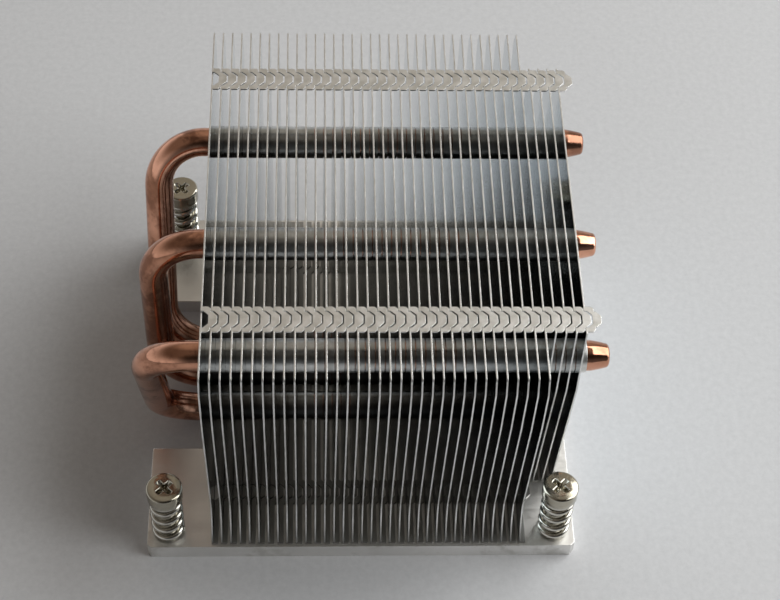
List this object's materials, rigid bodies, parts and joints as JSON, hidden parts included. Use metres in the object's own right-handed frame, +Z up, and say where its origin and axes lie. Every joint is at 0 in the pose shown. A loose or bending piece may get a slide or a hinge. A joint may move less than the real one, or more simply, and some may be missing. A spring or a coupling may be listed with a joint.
{
  "type": "passive server cpu heatsink",
  "caption": "Passive heatsink: square base plate with spring-loaded captive screws, copper heat pipes bent up at one side and a tall stack of interlocked sheet fins.",
  "frame": {"origin": "centre of the contact face, the flat underside of the base plate", "axes": "+Z up, from the contact face to the fin tops; +X right, along the pipe legs towards the pipe tips; -Y front. The pipe loops stand out at -X."},
  "size_m": [0.0932, 0.0924, 0.064],
  "materials": {
    "base_aluminium": "milled satin",
    "fin_aluminium": "rolled sheet, satin with bright sheared edges",
    "pipe_copper": "drawn copper, semi-polished with a brown tarnish",
    "screw_nickel": "bright nickel plating",
    "clip_steel": "plain spring steel",
    "spring_nickel": "bright nickel-plated wire"
  },
  "bodies": {
    "root": {"base_plate": "base_aluminium", "fin_01": "fin_aluminium", "fin_02": "fin_aluminium", "fin_03": "fin_aluminium", "fin_04": "fin_aluminium", "fin_05": "fin_aluminium", "fin_06": "fin_aluminium", "fin_07": "fin_aluminium", "fin_08": "fin_aluminium", "fin_09": "fin_aluminium", "fin_10": "fin_aluminium", "fin_11": "fin_aluminium", "fin_12": "fin_aluminium", "fin_13": "fin_aluminium", "fin_14": "fin_aluminium", "fin_15": "fin_aluminium", "fin_16": "fin_aluminium", "fin_17": "fin_aluminium", "fin_18": "fin_aluminium", "fin_19": "fin_aluminium", "fin_20": "fin_aluminium", "fin_21": "fin_aluminium", "fin_22": "fin_aluminium", "fin_23": "fin_aluminium", "fin_24": "fin_aluminium", "fin_25": "fin_aluminium", "fin_26": "fin_aluminium", "fin_27": "fin_aluminium", "fin_28": "fin_aluminium", "fin_29": "fin_aluminium", "fin_30": "fin_aluminium", "fin_31": "fin_aluminium", "fin_32": "fin_aluminium", "fin_33": "fin_aluminium", "fin_34": "fin_aluminium", "fin_35": "fin_aluminium", "fin_36": "fin_aluminium", "fin_37": "fin_aluminium", "fin_38": "fin_aluminium", "heat_pipe_front": "pipe_copper", "heat_pipe_middle": "pipe_copper", "heat_pipe_rear": "pipe_copper", "spring_front_left": "spring_nickel", "spring_front_right": "spring_nickel", "spring_rear_left": "spring_nickel", "spring_rear_right": "spring_nickel"},
    "clip_front_left": {"retaining_clip_front_left": "clip_steel"},
    "screw_front_left": {"screw_front_left": "screw_nickel"},
    "clip_front_right": {"retaining_clip_front_right": "clip_steel"},
    "screw_front_right": {"screw_front_right": "screw_nickel"},
    "clip_rear_left": {"retaining_clip_rear_left": "clip_steel"},
    "screw_rear_left": {"screw_rear_left": "screw_nickel"},
    "clip_rear_right": {"retaining_clip_rear_right": "clip_steel"},
    "screw_rear_right": {"screw_rear_right": "screw_nickel"}
  },
  "joints": [
    {"name": "press_front_left", "type": "slide", "parent": "root", "child": "clip_front_left", "axis": [0, 0, -1], "range_m": [0, 0.0045], "stiffness_N_per_m": 6000, "deforming": ["spring_front_left"]},
    {"name": "turn_front_left", "type": "hinge", "parent": "clip_front_left", "child": "screw_front_left", "pos_m": [-0.04, -0.04, 0.0102], "axis": [0, 0, 1], "continuous": true},
    {"name": "press_front_right", "type": "slide", "parent": "root", "child": "clip_front_right", "axis": [0, 0, -1], "range_m": [0, 0.0045], "stiffness_N_per_m": 6000, "deforming": ["spring_front_right"]},
    {"name": "turn_front_right", "type": "hinge", "parent": "clip_front_right", "child": "screw_front_right", "pos_m": [0.04, -0.04, 0.0102], "axis": [0, 0, 1], "continuous": true},
    {"name": "press_rear_left", "type": "slide", "parent": "root", "child": "clip_rear_left", "axis": [0, 0, -1], "range_m": [0, 0.0045], "stiffness_N_per_m": 6000, "deforming": ["spring_rear_left"]},
    {"name": "turn_rear_left", "type": "hinge", "parent": "clip_rear_left", "child": "screw_rear_left", "pos_m": [-0.04, 0.04, 0.0102], "axis": [0, 0, 1], "continuous": true},
    {"name": "press_rear_right", "type": "slide", "parent": "root", "child": "clip_rear_right", "axis": [0, 0, -1], "range_m": [0, 0.0045], "stiffness_N_per_m": 6000, "deforming": ["spring_rear_right"]},
    {"name": "turn_rear_right", "type": "hinge", "parent": "clip_rear_right", "child": "screw_rear_right", "pos_m": [0.04, 0.04, 0.0102], "axis": [0, 0, 1], "continuous": true}
  ]
}
